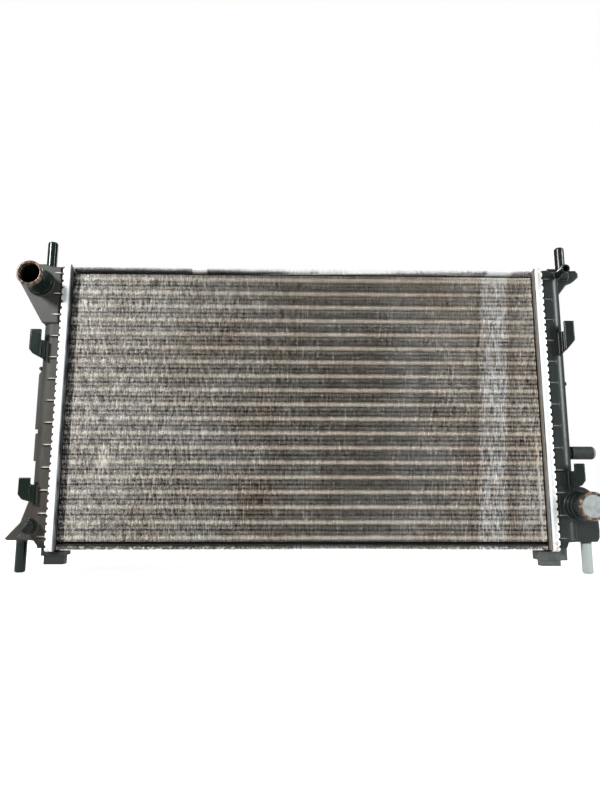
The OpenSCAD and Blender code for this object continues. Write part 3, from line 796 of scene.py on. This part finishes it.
def build():
    place_camera()
    light_studio()
    lay_floor()
    build_fins(fin_material())
    header = header_material()
    for side in ("left", "right"):
        build_header(side, header)
    # The last colour given to each tank is the painted highlight on its ribs.
    left = tank_material("inlet_tank_nylon", (0.004, 0.008, 0.006), (0.029, 0.029, 0.026),
                         (0.024, 0.019, 0.014),
                         (0.050, 0.047, 0.041), CENTRE.y - 51 * MM, 0.95, (0.004, 0.008, 0.006), 0.16, 0.15,
                         2 * MM, (0.32, 0.31, 0.29))
    right = tank_material("outlet_tank_nylon", (0.004, 0.007, 0.006), (0.009, 0.012, 0.011),
                          (0.013, 0.014, 0.013),
                          (0.022, 0.024, 0.022), CENTRE.y - 52.5 * MM, 0.35, (0.20, 0.225, 0.215), 0.28, 0.25,
                          0, (0.10, 0.105, 0.10))
    moulded("inlet_tank", "left_tank", 0.7 * MM, 4, 190000, left)
    moulded("outlet_tank", "right_tank", 0.7 * MM, 4, 190000, right)
    clips = {"left": [(0.003, 0.006, 0.005), (0.006, 0.008, 0.007), (0.02, 0.02, 0.018)],
             "right": [(0.030, 0.036, 0.033), (0.055, 0.060, 0.055), (0.09, 0.09, 0.085)]}
    for side, colours in clips.items():
        clip = worn_material(f"{side}_clip_moulding", colours, 0.008, 0.0008, (0.4, 0.6), 0.0, 0.04 * MM, 0.2)
        moulded(f"{side}_clip", f"{side}_condenser_clip", 0.4 * MM, 3, 60000, clip)
    screw = worn_material("drain_moulding",
                          [(0.006, 0.009, 0.008), (0.010, 0.012, 0.011), (0.04, 0.04, 0.04)],
                          0.006, 0.0006, (0.35, 0.5), 0.0, 0.03 * MM, 0.25)
    moulded("drain_screw_moulding", "drain_plug", 0.25 * MM, 3, 60000, screw, "drain_screw")
    cap_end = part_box("blanking_cap")[1].x
    cap = worn_material("cap_skin", [(0.009, 0.011, 0.010), (0.019, 0.022, 0.020), (0.08, 0.085, 0.08)],
                        0.004, 0.0009, (0.55, 0.75), 0.0, 0.06 * MM, 0.2,
                         (cap_end - 4 * MM, (0.13, 0.14, 0.135)))
    moulded("stub_cap", "blanking_cap", 0.3 * MM, 3, 60000, cap)
    grey = worn_material("plug_moulding", [(0.12, 0.133, 0.133), (0.185, 0.20, 0.197), (0.10, 0.085, 0.07)],
                         0.008, 0.0008, (0.45, 0.6), 0.0, 0.03 * MM, 0.4)
    moulded("mouth_plug", "outlet_transport_plug", 0.3 * MM, 3, 60000, grey)
    tube = worn_material("tube_skin", [(0.34, 0.31, 0.26), (0.46, 0.42, 0.36), (0.20, 0.16, 0.12)],
                         0.02, 0.0015, (0.35, 0.5), 0.7, 0.02 * MM)
    strip = worn_material("strip_plastic", [(0.62, 0.60, 0.54), (0.72, 0.70, 0.64), (0.5, 0.48, 0.42)],
                          0.02, 0.0015, (0.5, 0.6), 0.0, 0.02 * MM)
    rubber = worn_material("rubber_skin", [(0.012, 0.012, 0.012), (0.022, 0.022, 0.022), (0.05, 0.05, 0.05)],
                           0.01, 0.001, (0.6, 0.75), 0.0, 0.03 * MM, 0.3)
    plate = worn_material("side_plate_sheet",
                          [(0.018, 0.016, 0.014), (0.035, 0.031, 0.027), (0.12, 0.10, 0.08)],
                          0.015, 0.0012, (0.4, 0.55), 0.4, 0.02 * MM)
    for names, material in ((("front_tubes", "rear_tubes"), tube),
                            (("front_turbulators", "rear_turbulators"), strip),
                            (("left_gasket", "right_gasket", "drain_seal"), rubber),
                            (("upper_side_plate", "lower_side_plate"), plate)):
        for name in names:
            dress(name, material)


build()
